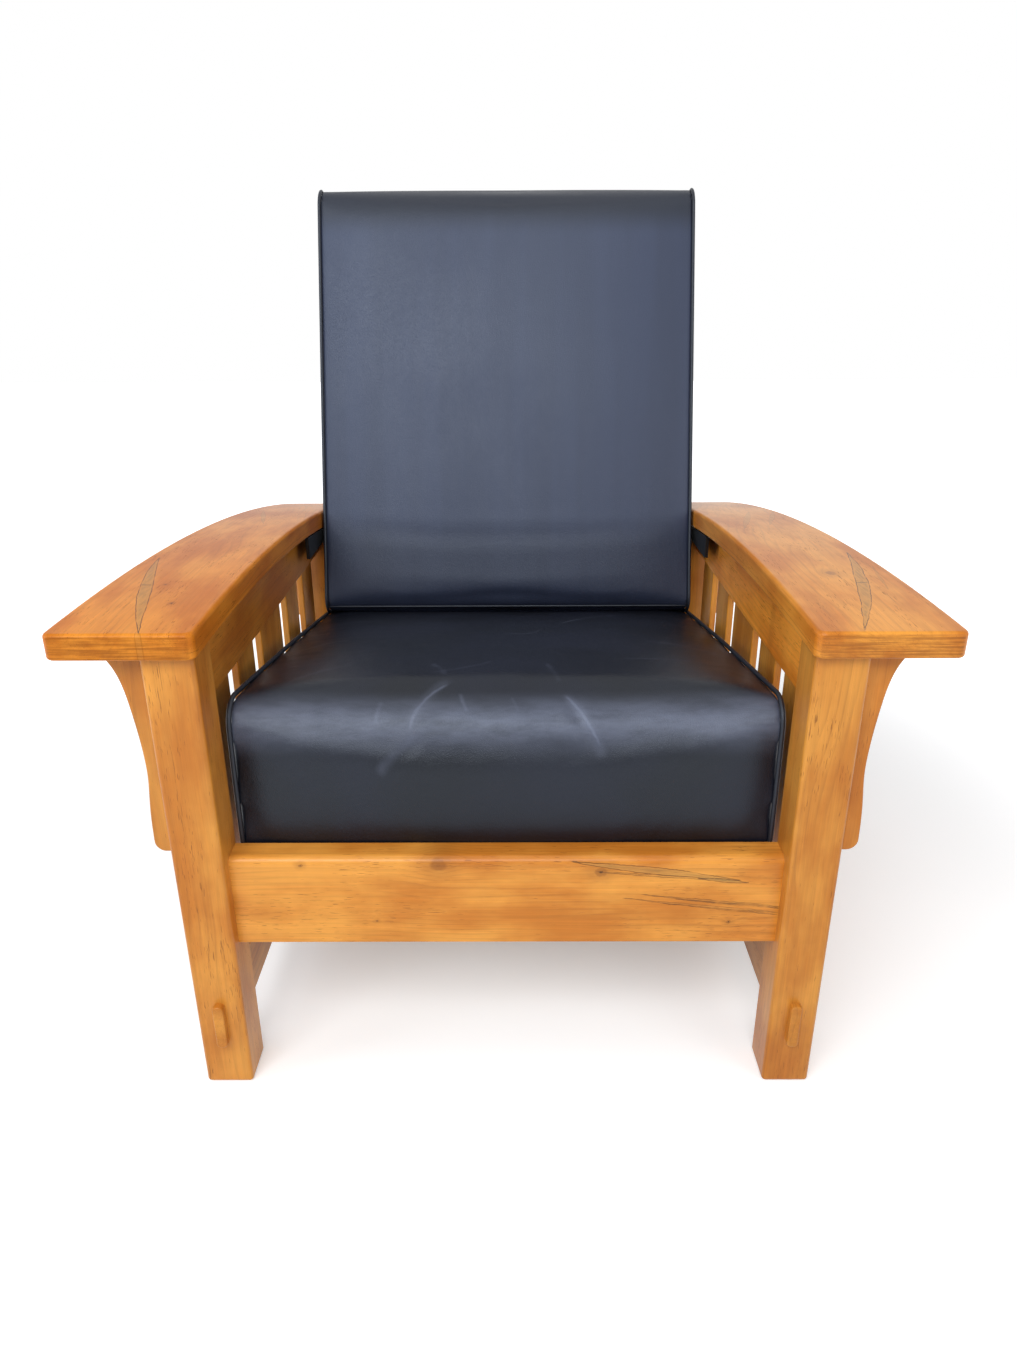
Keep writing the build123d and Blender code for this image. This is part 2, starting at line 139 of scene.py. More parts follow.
def mixColor(tree, factor, first, second, blend="MIX"):
    pairs = ((0, factor), (6, first), (7, second))
    return addNode(tree, "ShaderNodeMix", pairs, data_type="RGBA", blend_type=blend).outputs[2]


# A second colour laid over the first, as strong as a mask times a share
def laidOver(tree, color, mask, share, second):
    return mixColor(tree, calc(tree, "MULTIPLY", mask, share), color, second)


def newGroup(name, inputs, outputs):
    tree = bpy.data.node_groups.new(name, "ShaderNodeTree")
    for label, kind, default in inputs:
        socket = tree.interface.new_socket(label, in_out="INPUT", socket_type="NodeSocket" + kind)
        socket.default_value = default
    for label, kind in outputs:
        tree.interface.new_socket(label, in_out="OUTPUT", socket_type="NodeSocket" + kind)
    into = tree.nodes.new("NodeGroupInput")
    out = tree.nodes.new("NodeGroupOutput")
    return tree, into.outputs, out


def sendOut(tree, out, **sockets):
    for label, socket in sockets.items():
        tree.links.new(socket, out.inputs[label])


def useGroup(tree, group, **values):
    node = tree.nodes.new("ShaderNodeGroup")
    node.node_tree = group
    for label, value in values.items():
        feed(tree, node.inputs[label], value)
    return node.outputs


# How full a line bowed from From to To is beside a place, and how far off it the place lies
def besideLine(tree, given, place):
    middle = vecCalc(tree, "SCALE", vecCalc(tree, "ADD", given["From"], given["To"]))
    middle.node.inputs["Scale"].default_value = 0.5
    across = vecCalc(tree, "SUBTRACT", given["To"], given["From"])
    direction = vecCalc(tree, "NORMALIZE", across)
    away = vecCalc(tree, "SUBTRACT", place, middle)
    halfLength = calc(tree, "MULTIPLY", vecCalc(tree, "LENGTH", across, output=1), 0.5)
    reach = vecCalc(tree, "DOT_PRODUCT", away, direction, output=1)
    along = calc(tree, "DIVIDE", reach, halfLength)
    offset = axesOf(tree, vecCalc(tree, "CROSS_PRODUCT", direction, away))[2]
    body = calc(tree, "SUBTRACT", 1.0, calc(tree, "MULTIPLY", along, along), clamp=True)
    return body, calc(tree, "SUBTRACT", offset, calc(tree, "MULTIPLY", body, given["Bow"]))


# Moves a value by a noise of the place, up to half the reach either way
def wavered(tree, value, noise, reach):
    return calc(tree, "MULTIPLY_ADD", calc(tree, "SUBTRACT", noise, 0.5), reach, value)


# A colour as seen on a screen, 0 to 255, turned into the linear values that Blender mixes
def rgb(red, green, blue):
    parts = [value / 255 for value in (red, green, blue)]
    linear = [v / 12.92 if v <= 0.04045 else ((v + 0.055) / 1.055) ** 2.4 for v in parts]
    return (*linear, 1.0)


def newMaterial(name):
    material = bpy.data.materials.new(name)
    material.use_nodes = True
    tree = material.node_tree
    tree.nodes.clear()
    shader = tree.nodes.new("ShaderNodeBsdfPrincipled")
    output = tree.nodes.new("ShaderNodeOutputMaterial")
    tree.links.new(shader.outputs[0], output.inputs["Surface"])
    return material, tree, shader


def wire(tree, shader, color, rough):
    tree.links.new(color, shader.inputs["Base Color"])
    tree.links.new(rough, shader.inputs["Roughness"])


def bumpFrom(tree, shader, height, strength, distance):
    pairs = (("Strength", strength), ("Distance", distance), ("Height", height))
    bump = addNode(tree, "ShaderNodeBump", pairs)
    tree.links.new(bump.outputs[0], shader.inputs["Normal"])


# Wood: a board's coordinates are X along the grain, Y across its face and Z through it
# Each mark's noise: its pace in those three directions, detail and roughness
grainMarks = {
    "bend": ((1.6, 7.0, 7.0), 2, 0.5),
    "sway": ((9.0, 40.0, 40.0), 2, 0.5),
    "uneven": ((7.0, 26.0, 26.0), 3, 0.5),
    "fibre": ((14.0, 900.0, 900.0), 3, 0.65),
    "streaks": ((4.5, 190.0, 190.0), 3, 0.6),
    "curl": ((60.0, 9.0, 9.0), 2, 0.5),
    "blotch": ((6.0, 15.0, 15.0), 4, 0.55),
    "dashes": ((60.0, 1100.0, 1100.0), 1, 0.5),
    "gather": ((10.0, 36.0, 36.0), 2, 0.5),
}
ringReach = {"bend": 0.050, "sway": 0.0045}  # how far the noises push the year rings, in metres
# How much each mark darkens the wood, and how light it stays at the mark's darkest
grainShade = {"fibre": (0.34, 0.83), "streaks": (0.38, 0.81), "curl": (0.10, 0.95)}


def makeBoardGrain():
    tree, given, out = newGroup(
        "boardGrain",
        (
            ("Vector", "Vector", (0, 0, 0)),
            ("Pith", "Vector", (0, 0.05, 0.05)),
            ("Ring Width", "Float", 0.006),
            ("Push", "Float", 0.0),
            ("Pale", "Color", (1, 1, 1, 1)),
            ("Honey", "Color", (1, 1, 1, 1)),
            ("Umber", "Color", (0, 0, 0, 1)),
            ("Ring Depth", "Float", 0.4),
            ("Fleck Depth", "Float", 0.5),
        ),
        (("Color", "Color"), ("Height", "Float"), ("Gloss", "Float")),
    )
    place = given["Vector"]
    marks = {}
    for label, (pace, detail, rough) in grainMarks.items():
        marks[label] = noiseOf(tree, scaled(tree, place, pace), detail=detail, rough=rough)
    fromPith = vecCalc(tree, "SUBTRACT", place, given["Pith"])
    reach = vecCalc(tree, "LENGTH", scaled(tree, fromPith, (0.0, 1.0, 1.0)), output=1)
    for label, pushed in ringReach.items():
        reach = calc(tree, "MULTIPLY_ADD", marks[label], pushed, reach)
    reach = calc(tree, "ADD", reach, given["Push"])
    phase = calc(tree, "FRACT", calc(tree, "DIVIDE", reach, given["Ring Width"]))
    late = remap(tree, phase, 0.55, 0.92)
    fall = remap(tree, phase, 0.94, 1.0, 1.0, 0.0)
    ring = calc(tree, "MULTIPLY", late, fall)
    ring = calc(tree, "MULTIPLY", ring, remap(tree, marks["uneven"], 0.38, 0.66))
    ring = calc(tree, "MULTIPLY", ring, given["Ring Depth"])
    limit = remap(tree, marks["gather"], 0.40, 0.66, 0.76, 0.64)
    fleck = remap(tree, calc(tree, "SUBTRACT", marks["dashes"], limit), 0.0, 0.04)
    blotch = remap(tree, marks["blotch"], 0.34, 0.66)
    color = mixColor(tree, blotch, given["Pale"], given["Honey"])
    color = mixColor(tree, ring, color, given["Umber"])
    color = laidOver(tree, color, fleck, given["Fleck Depth"], given["Umber"])
    shade = 1.0
    for label, (depth, least) in grainShade.items():
        darker = calc(tree, "MULTIPLY_ADD", marks[label], depth, least)
        shade = calc(tree, "MULTIPLY", shade, darker)
    color = mixColor(tree, 1.0, color, joinAxes(tree, shade, shade, shade), "MULTIPLY")
    height = calc(tree, "MULTIPLY", marks["fibre"], 0.4)
    height = calc(tree, "MULTIPLY_ADD", fleck, -0.6, height)
    gloss = calc(tree, "MULTIPLY_ADD", marks["blotch"], 0.10, 0.27)
    gloss = calc(tree, "MULTIPLY_ADD", fleck, 0.12, gloss)
    sendOut(tree, out, Color=color, Height=height, Gloss=gloss)
    return tree


# A spindle of stained wood between two points, bowed to one side, with a thin dark outline
def makeMineralStreak():
    tree, given, out = newGroup(
        "mineralStreak",
        (
            ("Vector", "Vector", (0, 0, 0)),
            ("From", "Vector", (0, 0, 0)),
            ("To", "Vector", (1, 0, 0)),
            ("Half Width", "Float", 0.006),
            ("Bow", "Float", 0.0),
            ("Line", "Float", 0.0008),
        ),
        (("Fill", "Float"), ("Edge", "Float"), ("Core", "Float")),
    )
    flat = scaled(tree, given["Vector"], (1, 1, 0))
    body, offset = besideLine(tree, given, flat)
    wobble = noiseOf(tree, scaled(tree, flat, (22.0, 22.0, 0.0)), detail=2)
    offset = wavered(tree, offset, wobble, 0.004)
    ragged = noiseOf(tree, scaled(tree, flat, (160.0, 160.0, 0.0)), detail=2)
    half = calc(tree, "MULTIPLY", calc(tree, "POWER", body, 1.3), given["Half Width"])
    half = wavered(tree, half, ragged, 0.0016)
    inside = calc(tree, "SUBTRACT", half, calc(tree, "ABSOLUTE", offset))
    present = remap(tree, body, 0.02, 0.12)
    fill = calc(tree, "MULTIPLY", remap(tree, inside, 0.0, 0.0012), present)
    edge = remap(tree, calc(tree, "ABSOLUTE", inside), 0.0, given["Line"], 1.0, 0.0)
    patchy = noiseOf(tree, scaled(tree, flat, (60.0, 60.0, 0.0)), detail=2)
    worn = remap(tree, patchy, 0.30, 0.55, 0.35, 1.0)
    edge = calc(tree, "MULTIPLY", calc(tree, "MULTIPLY", edge, worn), present)
    grainy = noiseOf(tree, scaled(tree, flat, (45.0, 320.0, 0.0)), detail=3, rough=0.6)
    deep = remap(tree, inside, 0.0005, 0.004)
    core = calc(tree, "MULTIPLY", remap(tree, grainy, 0.42, 0.62), deep)
    sendOut(tree, out, Fill=fill, Edge=edge, Core=core)
    return tree


# A knot that the grain flows round
def makeKnotSwirl():
    tree, given, out = newGroup(
        "knotSwirl",
        (
            ("Vector", "Vector", (0, 0, 0)),
            ("Centre", "Vector", (0, 0, 0)),
            ("Radius", "Float", 0.006),
        ),
        (("Push", "Float"), ("Core", "Float"), ("Heart", "Float"), ("Halo", "Float")),
    )
    away = vecCalc(tree, "SUBTRACT", given["Vector"], given["Centre"])
    reach = vecCalc(tree, "LENGTH", scaled(tree, away, (0.75, 1.0, 0.0)), output=1)
    ragged = noiseOf(tree, scaled(tree, given["Vector"], (150.0, 150.0, 0.0)), detail=2)
    reach = wavered(tree, reach, ragged, 0.004)
    share = calc(tree, "DIVIDE", reach, given["Radius"])
    spread = calc(tree, "MULTIPLY", calc(tree, "MULTIPLY", share, share), 0.22)
    push = calc(tree, "DIVIDE", given["Radius"], calc(tree, "ADD", spread, 1.0))
    core = remap(tree, share, 0.7, 1.15, 1.0, 0.0)
    heart = remap(tree, share, 0.10, 0.42, 1.0, 0.0)
    halo = remap(tree, share, 1.0, 3.6, 1.0, 0.0)
    push = calc(tree, "MULTIPLY", push, 1.6)
    sendOut(tree, out, Push=push, Core=core, Heart=heart, Halo=halo)
    return tree


boardGrain = makeBoardGrain()
mineralStreak = makeMineralStreak()
knotSwirl = makeKnotSwirl()

woodFinish = {
    "maple": {
        "colors": (rgb(219, 151, 65), rgb(188, 114, 37), rgb(108, 56, 16)),
        "ringDepth": 0.18,
        "fleckDepth": 0.62,
        "coat": 0.06,
    },
    "deck": {
        "colors": (rgb(214, 178, 128), rgb(196, 154, 104), rgb(140, 100, 62)),
        "ringDepth": 0.16,
        "fleckDepth": 0.30,
        "coat": 0.0,
    },
    "olive": rgb(166, 126, 66),
    "bark": rgb(120, 88, 46),
    "line": rgb(62, 38, 16),
    "ringWidth": 0.0052,
    "layerShift": 0.0035,
    "coatRoughness": 0.20,
}
recline = math.radians(17.84)  # how far the back leans at rest
grainTurn = {
    "x": (-math.pi / 2, 0, 0),
    "y": (0, 0, -math.pi / 2),
    "z": (0, math.pi / 2, 0),
    "stile": (recline, math.pi / 2, 0),
    "backRail": (recline - math.pi / 2, 0, 0),
}
# The arms' bow, as the CAD draws it, and how deep the joint between their two layers lies
bow = {"peakY": 0.173 + frontFace, "peakZ": 0.592, "radius": 3.8551, "ply": 0.0198}


def boardPlace(tree, way):
    pairs = (("Vector", objectPlace(tree)), ("Rotation", grainTurn[way]))
    return addNode(tree, "ShaderNodeMapping", pairs, vector_type="POINT").outputs[0]


# The depth below the top of an arm
def bowDepth(tree):
    centre = (0.0, bow["peakY"], bow["peakZ"] - bow["radius"])
    away = scaled(tree, vecCalc(tree, "SUBTRACT", objectPlace(tree), centre), (0.0, 1.0, 1.0))
    return calc(tree, "SUBTRACT", bow["radius"], vecCalc(tree, "LENGTH", away, output=1))


# The cut ends of the arms: flat dark lines that follow the layers
def endGrain(tree, depth):
    coordinates = tree.nodes.new("ShaderNodeTexCoord").outputs
    facing = axesOf(tree, coordinates["Normal"])[1]
    ends = remap(tree, calc(tree, "ABSOLUTE", facing), 0.80, 0.95)
    across = calc(tree, "MULTIPLY", axesOf(tree, coordinates["Object"])[0], 16.0)
    flat = joinAxes(tree, across, calc(tree, "MULTIPLY", depth, 420.0))
    lines = noiseOf(tree, flat, detail=3, rough=0.6)
    return calc(tree, "MULTIPLY", ends, remap(tree, lines, 0.36, 0.66, 0.12, 0.60))


# knots are (across, along, radius, dark heart), streaks (from, to, half width, bow, stain, line),
# both in board coordinates. tint is how light, how red and how shiny the board is.
def makeWood(
    name, way, seed, tint=(1.0, 1.0, 0.25), knots=(), streaks=(), layered=False, deck=False
):
    finish = woodFinish["deck" if deck else "maple"]
    dark = woodFinish["line"]
    draw = random.Random(seed)
    material, tree, shader = newMaterial(name)
    place = boardPlace(tree, way)
    shift = tuple(draw.uniform(-3, 3) for axis in range(3))
    moved = vecCalc(tree, "ADD", place, shift)
    side = draw.choice((-1, 1))
    pithAcross = shift[1] + draw.uniform(-0.02, 0.03)
    pithDepth = shift[2] + side * draw.uniform(0.045, 0.11)
    push = 0.0
    swirls = []
    for across, along, radius, heart in knots:
        swirl = useGroup(tree, knotSwirl, Vector=place, Centre=(along, across, 0), Radius=radius)
        swirls.append((swirl, heart))
        push = calc(tree, "ADD", swirl["Push"], push)
    if layered:
        depth = bowDepth(tree)
        under = remap(tree, depth, bow["ply"] - 0.0002, bow["ply"] + 0.0002)
        push = calc(tree, "MULTIPLY_ADD", under, woodFinish["layerShift"], push)
    light = tint[0] * draw.uniform(0.95, 1.05)
    warm = tint[1] * draw.uniform(0.97, 1.03)
    colors = []
    for red, green, blue, alpha in finish["colors"]:
        colors.append((red * light, green * light / warm, blue * light / warm**3.5, alpha))
    pale, honey, umber = colors
    values = {
        "Vector": moved,
        "Pith": (0.0, pithAcross, pithDepth),
        "Ring Width": woodFinish["ringWidth"] * draw.uniform(0.8, 1.4),
        "Push": push,
        "Pale": pale,
        "Honey": honey,
        "Umber": umber,
        "Ring Depth": finish["ringDepth"],
        "Fleck Depth": finish["fleckDepth"],
    }
    grain = useGroup(tree, boardGrain, **values)
    color = grain["Color"]
    for swirl, heart in swirls:
        stains = (("Halo", 0.22, umber), ("Core", 0.42, umber), ("Heart", heart, dark))
        for label, share, stain in stains:
            color = laidOver(tree, color, swirl[label], share, stain)
    for start, end, half, bowed, stain, line in streaks:
        ends = {"From": (*start, 0), "To": (*end, 0), "Half Width": half, "Bow": bowed}
        streak = useGroup(tree, mineralStreak, Vector=place, **ends)
        color = laidOver(tree, color, streak["Fill"], stain, woodFinish["olive"])
        barkShare = calc(tree, "MULTIPLY", streak["Fill"], stain * 0.8)
        color = laidOver(tree, color, streak["Core"], barkShare, woodFinish["bark"])
        color = laidOver(tree, color, streak["Edge"], line, dark)
    if layered:
        joint = calc(tree, "ABSOLUTE", calc(tree, "SUBTRACT", depth, bow["ply"]))
        color = mixColor(tree, remap(tree, joint, 0.0, 0.0007, 0.45, 0.0), color, umber)
        color = mixColor(tree, endGrain(tree, depth), color, umber)
    wire(tree, shader, color=color, rough=grain["Gloss"])
    bumpFrom(tree, shader, grain["Height"], 0.22, 0.0003)
    shader.inputs["Coat Weight"].default_value = finish["coat"]
    shader.inputs["Coat Roughness"].default_value = woodFinish["coatRoughness"]
    shader.inputs["Specular IOR Level"].default_value = tint[2]
    return material


def paint(node, material):
    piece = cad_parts[node]
    piece.data.materials.clear()
    piece.data.materials.append(material)


# Arms: Y runs across as -X, so the left arm's outer edge is on the + side
armStreaks = {
    "arm_left": [
        ((-0.208, 0.4322), (-0.488, 0.3575), 0.0068, -0.0046, 0.46, 1.0),
        ((-0.3325, 0.4105), (-0.3335, 0.3975), 0.0008, 0.0, 0.0, 0.95),
        ((-0.478, 0.3625), (-0.500, 0.3545), 0.0030, 0.0, 0.20, 0.30),
        ((0.02, 0.36), (0.20, 0.405), 0.0035, 0.0, 0.30, 0.30),
    ],
    "arm_right": [
        ((-0.193, -0.4285), (-0.486, -0.3505), 0.0066, 0.0088, 0.46, 1.0),
        ((-0.3325, -0.4065), (-0.3335, -0.3930), 0.0008, 0.0, 0.0, 0.95),
        ((-0.04, -0.337), (0.15, -0.388), 0.0045, 0.0, 0.25, 0.35),
        ((-0.01, -0.380), (0.15, -0.428), 0.0035, 0.0, 0.25, 0.35),
        ((-0.26, -0.436), (-0.36, -0.420), 0.0014, 0.0, 0.35, 0.30),
    ],
}
armKnots = {
    "arm_left": [(0.3546, -0.3967, 0.0020, 0.8), (0.3829, -0.3318, 0.0018, 0.8)],
    "arm_right": [(-0.377, -0.2948, 0.0060, 0.25), (-0.3821, -0.2392, 0.0014, 0.8)],
}
railStreaks = [
    ((0.070, 0.3055), (0.268, 0.2800), 0.0042, 0.0, 0.45, 0.85),
    ((0.100, 0.2925), (0.262, 0.2790), 0.0012, 0.0, 0.30, 0.70),
    ((0.215, 0.2835), (0.275, 0.2770), 0.0022, 0.0, 0.65, 0.75),
    ((0.130, 0.2565), (0.330, 0.2345), 0.0013, 0.0, 0.35, 0.60),
    ((0.150, 0.2620), (0.335, 0.2420), 0.0010, 0.0, 0.30, 0.65),
    ((0.190, 0.2560), (0.345, 0.2390), 0.0007, 0.0, 0.30, 0.70),
    ((0.175, 0.2505), (0.340, 0.2300), 0.0006, 0.0, 0.30, 0.60),
]
railKnots = [
    (0.3010, -0.0761, 0.0075, 0.10),
    (0.2915, 0.1067, 0.0058, 0.95),
    (0.3010, -0.231, 0.0022, 0.7),
    (0.2238, 0.2557, 0.0022, 0.85),
    (0.2257, -0.1489, 0.0014, 0.8),
]
# the right arm is paler and less red than the left, partly its own tone and partly a painted sheen
armToneAndSheen = {"arm_left": (0.99, 1.22, 0.08), "arm_right": (1.04, 1.08, 0.18)}
firstSeed = {"arms": 11, "frontRail": 21, "boards": 41}  # every board has a seed of its own
for number, (name, tint) in enumerate(armToneAndSheen.items()):
    marks = (tint, armKnots[name], armStreaks[name])
    wood = makeWood(name + "_wood", "y", firstSeed["arms"] + number, *marks, layered=True)
    paint(name, wood)
railTint = (1.0, 1.0, 0.25)
railMarks = (railTint, railKnots, railStreaks)
paint("front_rail", makeWood("front_rail_wood", "x", firstSeed["frontRail"], *railMarks))

sideSlats = [f"side_slat_{i}" for i in range(1, 6)]
backSlats = [f"back_slat_{i}" for i in range(1, 5)]
plainBoards = {
    "x": ("rear_rail",),
    "y": ("lower_side_rail", "side_apron", "rack_block"),
    "z": ("front_leg", "rear_leg", "front_corbel", "rear_corbel", *sideSlats),
    "stile": ("back_stile",),
    "backRail": ("back_top_rail", "back_bottom_rail", *backSlats),
}
extraKnots = {
    "side_apron_right": [(-0.335, -0.25, 0.004, 0.5)],
    "side_slat_2_right": [(-0.10, 0.43, 0.004, 0.5)],
    "side_slat_3_left": [(0.0, 0.42, 0.004, 0.5)],
}
boardToneAndPaintedLight = {
    "side_apron_left": (1.05, 1.12, 0.2),
    # painted light: the right apron's inner face is painted much lighter than the left's, as if lit
    # from the left
    "side_apron_right": (1.50, 1.14, 0.2),
    "side_slat": (1.02, 1.04, 0.2),
    "lower_side_rail": (0.84, 1.03, 0.2),
    "": (0.88, 1.04, 0.25),  # every other board
}
deckBoards = {"seat_slat_": "x", "seat_side_rail": "y"}
seed = firstSeed["boards"]
for way, kinds in plainBoards.items():
    for kind in kinds:
        for name in (kind, kind + "_left", kind + "_right"):
            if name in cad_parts:
                tint = next(tint for start, tint in boardToneAndPaintedLight.items() if name.startswith(start))
                knots = extraKnots.get(name, ())
                paint(name, makeWood(name + "_wood", way, seed, tint, knots))
                seed += 1
for name in sorted(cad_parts):
    for start, way in deckBoards.items():
        if name.startswith(start) and name != "seat_slat_screws":
            paint(name, makeWood(name + "_wood", way, seed, deck=True))
            seed += 1
print("wood done")


# Metals
def makeScuffs():
    tree, given, out = newGroup(
        "scuffs",
        (("Vector", "Vector", (0, 0, 0)), ("Scale", "Float", 60.0)),
        (("Mask", "Float"), ("Height", "Float")),
    )
    broad = noiseOf(tree, given["Vector"], given["Scale"], detail=4, rough=0.65)
    lines = noiseOf(tree, scaled(tree, given["Vector"], (40.0, 900.0, 900.0)), detail=2)
    mask = calc(tree, "MULTIPLY", remap(tree, broad, 0.45, 0.75), remap(tree, lines, 0.4, 0.7))
    sendOut(tree, out, Mask=mask, Height=lines)
    return tree


scuffs = makeScuffs()
# Each metal's colour, its colour where rubbed, how metallic and how rough it is
metalFinish = {
    "black_steel": (rgb(26, 26, 27), rgb(64, 63, 61), 0.55, 0.42),
    "steel": (rgb(150, 150, 152), rgb(186, 186, 188), 1.0, 0.34),
    "brass": (rgb(178, 140, 72), rgb(206, 172, 104), 1.0, 0.32),
}


def makeMetal(name):
    base, bright, metallic, rough = metalFinish[name]
    material, tree, shader = newMaterial(name)
    wear = useGroup(tree, scuffs, Vector=objectPlace(tree))
    color = laidOver(tree, base, wear["Mask"], 0.6, bright)
    gloss = calc(tree, "MULTIPLY_ADD", wear["Mask"], -0.12, rough)
    wire(tree, shader, color=color, rough=gloss)
    shader.inputs["Metallic"].default_value = metallic
    bumpFrom(tree, shader, wear["Height"], 0.12, 0.0002)
    return material


metals = {name: makeMetal(name) for name in metalFinish}
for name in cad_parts:
    if name.startswith("rack_plate") or name == "rack_screws":
        paint(name, metals["black_steel"])
    elif name.startswith("pivot_pin") or name in ("support_bar", "seat_slat_screws"):
        paint(name, metals["steel"])
    elif name.startswith("pivot_spacer"):
        paint(name, metals["brass"])


# Leather
def makeLeatherGrain():
    tree, given, out = newGroup(
        "leatherGrain",
        (("Vector", "Vector", (0, 0, 0)), ("Scale", "Float", 620.0)),
        (("Height", "Float"), ("Tone", "Float"), ("Gloss", "Float")),
    )
    pairs = (("Vector", given["Vector"]), ("Scale", 90.0), ("Detail", 2.0))
    warp = addNode(tree, "ShaderNodeTexNoise", pairs).outputs["Color"]
    bent = vecCalc(tree, "MULTIPLY_ADD", warp, (0.004, 0.004, 0.004), given["Vector"])
    pairs = (("Vector", bent), ("Scale", given["Scale"]))
    cells = addNode(tree, "ShaderNodeTexVoronoi", pairs, feature="DISTANCE_TO_EDGE").outputs[0]
    pebble = remap(tree, cells, 0.0, 0.35)
    soft = noiseOf(tree, given["Vector"], 55.0, detail=3)
    crease = noiseOf(tree, given["Vector"], 210.0, detail=3, rough=0.6)
    height = calc(tree, "MULTIPLY_ADD", crease, 0.8, calc(tree, "MULTIPLY", pebble, 0.5))
    broad = noiseOf(tree, given["Vector"], 7.0, detail=3)
    gloss = calc(tree, "MULTIPLY_ADD", broad, 0.16, calc(tree, "MULTIPLY", soft, 0.08))
    sendOut(tree, out, Height=height, Tone=broad, Gloss=gloss)
    return tree


# A fine wrinkle between two points of the unrolled leather, bowed to one side
def makeWrinkle():
    tree, given, out = newGroup(
        "wrinkle",
        (
            ("Vector", "Vector", (0, 0, 0)),
            ("From", "Vector", (0, 0, 0)),
            ("To", "Vector", (1, 0, 0)),
            ("Bow", "Float", 0.0),
            ("Half Width", "Float", 0.002),
        ),
        (("Mask", "Float"), ("Height", "Float")),
    )
    body, offset = besideLine(tree, given, given["Vector"])
    wobble = noiseOf(tree, given["Vector"], 30.0, detail=2)
    offset = wavered(tree, offset, wobble, 0.006)
    share = calc(tree, "ABSOLUTE", calc(tree, "DIVIDE", offset, given["Half Width"]))
    faint = remap(tree, wobble, 0.30, 0.60, 0.35, 1.0)
    fade = calc(tree, "MULTIPLY", remap(tree, body, 0.0, 0.45), faint)
    line = calc(tree, "MULTIPLY", remap(tree, share, 0.0, 1.0, 1.0, 0.0), fade)
    fold = calc(tree, "MULTIPLY", remap(tree, share, 0.0, 3.0, 1.0, 0.0), fade)
    sendOut(tree, out, Mask=line, Height=fold)
    return tree


leatherGrain = makeLeatherGrain()
wrinkle = makeWrinkle()
leatherFinish = {
    # pale colour of the seat crown's painted highlight and of the lines along the wrinkles
    "sheenAndCrease": rgb(112, 118, 138),
    "tint": (0.80, 0.88, 1.0, 1.0),
    "seat": {"deep": rgb(9, 10, 16), "worn": rgb(16, 18, 29), "rough": 0.26, "specular": 0.38},
    # the back's colours are the seat's leather painted lighter and bluer, as a painted sheen
    "back": {"deep": rgb(18, 21, 31), "worn": rgb(46, 53, 74), "rough": 0.30, "specular": 0.44},
    "welt": {"deep": rgb(13, 14, 20), "worn": rgb(20, 22, 30), "rough": 0.34, "specular": 0.5},
}


# A painted highlight over the seat's crown at the front: where it rises and falls, as distances
# up the front and over the top, and its share of the pale colour
seatCrownSheen = {"rise": (0.100, 0.150), "fall": (0.160, 0.215), "strength": 0.50}
# Painted sheen on the back, darker at its foot and top, in upright streaks: heights over the floor
backSheen = {"foot": (0.505, 0.56), "top": (0.975, 1.02), "least": 0.62, "sheenStreaks": 0.16}


# wrinkles are (from, to, bow, half width, strength), from and to as x and the distance up the front
# and back over the top. flat turns the object's coordinates into the cushion's own.
def makeLeather(kind, wrinkles=(), flat=None, sheenZone=None):
    finish = leatherFinish[kind]
    material, tree, shader = newMaterial(kind + "_leather")
    place = objectPlace(tree)
    grain = useGroup(tree, leatherGrain, Vector=place)
    height = grain["Height"]
    worn = remap(tree, grain["Tone"], 0.3, 0.7)
    if sheenZone:
        # painted sheen on the back: lighter in the middle, darker at the foot and top, in upright
        # streaks
        up = axesOf(tree, place)[2]
        sheenLevel = remap(tree, up, *sheenZone["foot"], sheenZone["least"], 1.0)
        sheenLevel = calc(tree, "MULTIPLY", sheenLevel, remap(tree, up, *sheenZone["top"], 1.0, 0.1))
        sheenStreaks = noiseOf(tree, scaled(tree, place, (22.0, 0.8, 1.6)), detail=2)
        sheenStreaks = remap(tree, sheenStreaks, 0.36, 0.66, 1.0 - sheenZone["sheenStreaks"], 1.0)
        worn = calc(tree, "MULTIPLY", sheenLevel, sheenStreaks)
    color = mixColor(tree, worn, finish["deep"], finish["worn"])
    if wrinkles:
        origin, turn = flat
        pairs = (("Vector", vecCalc(tree, "SUBTRACT", place, origin)), ("Rotation", turn))
        own = addNode(tree, "ShaderNodeMapping", pairs, vector_type="POINT").outputs[0]
        x, ahead, up = axesOf(tree, own)
        reach = calc(tree, "ADD", ahead, up)
        spread = joinAxes(tree, x, reach)
        # painted highlight over the seat's crown, laid over in the pale colour
        fall = remap(tree, reach, *seatCrownSheen["fall"], 1.0, 0.0)
        crown = calc(tree, "MULTIPLY", remap(tree, reach, *seatCrownSheen["rise"]), fall)
        patchy = noiseOf(tree, scaled(tree, spread, (14.0, 30.0, 0.0)), detail=4, rough=0.6)
        crown = calc(tree, "MULTIPLY", crown, remap(tree, patchy, 0.25, 0.70, 0.45, 1.0))
        color = laidOver(tree, color, crown, seatCrownSheen["strength"], leatherFinish["sheenAndCrease"])
        for start, end, bowed, half, strength in wrinkles:
            ends = {"From": (*start, 0), "To": (*end, 0), "Bow": bowed, "Half Width": half}
            line = useGroup(tree, wrinkle, Vector=spread, **ends)
            color = laidOver(tree, color, line["Mask"], strength, leatherFinish["sheenAndCrease"])
            height = calc(tree, "MULTIPLY_ADD", line["Height"], 1.4 * strength, height)
    wire(tree, shader, color=color, rough=calc(tree, "ADD", grain["Gloss"], finish["rough"]))
    bumpFrom(tree, shader, height, 0.45, 0.0004)
    shader.inputs["Specular Tint"].default_value = leatherFinish["tint"]
    shader.inputs["Specular IOR Level"].default_value = finish["specular"]
    return material


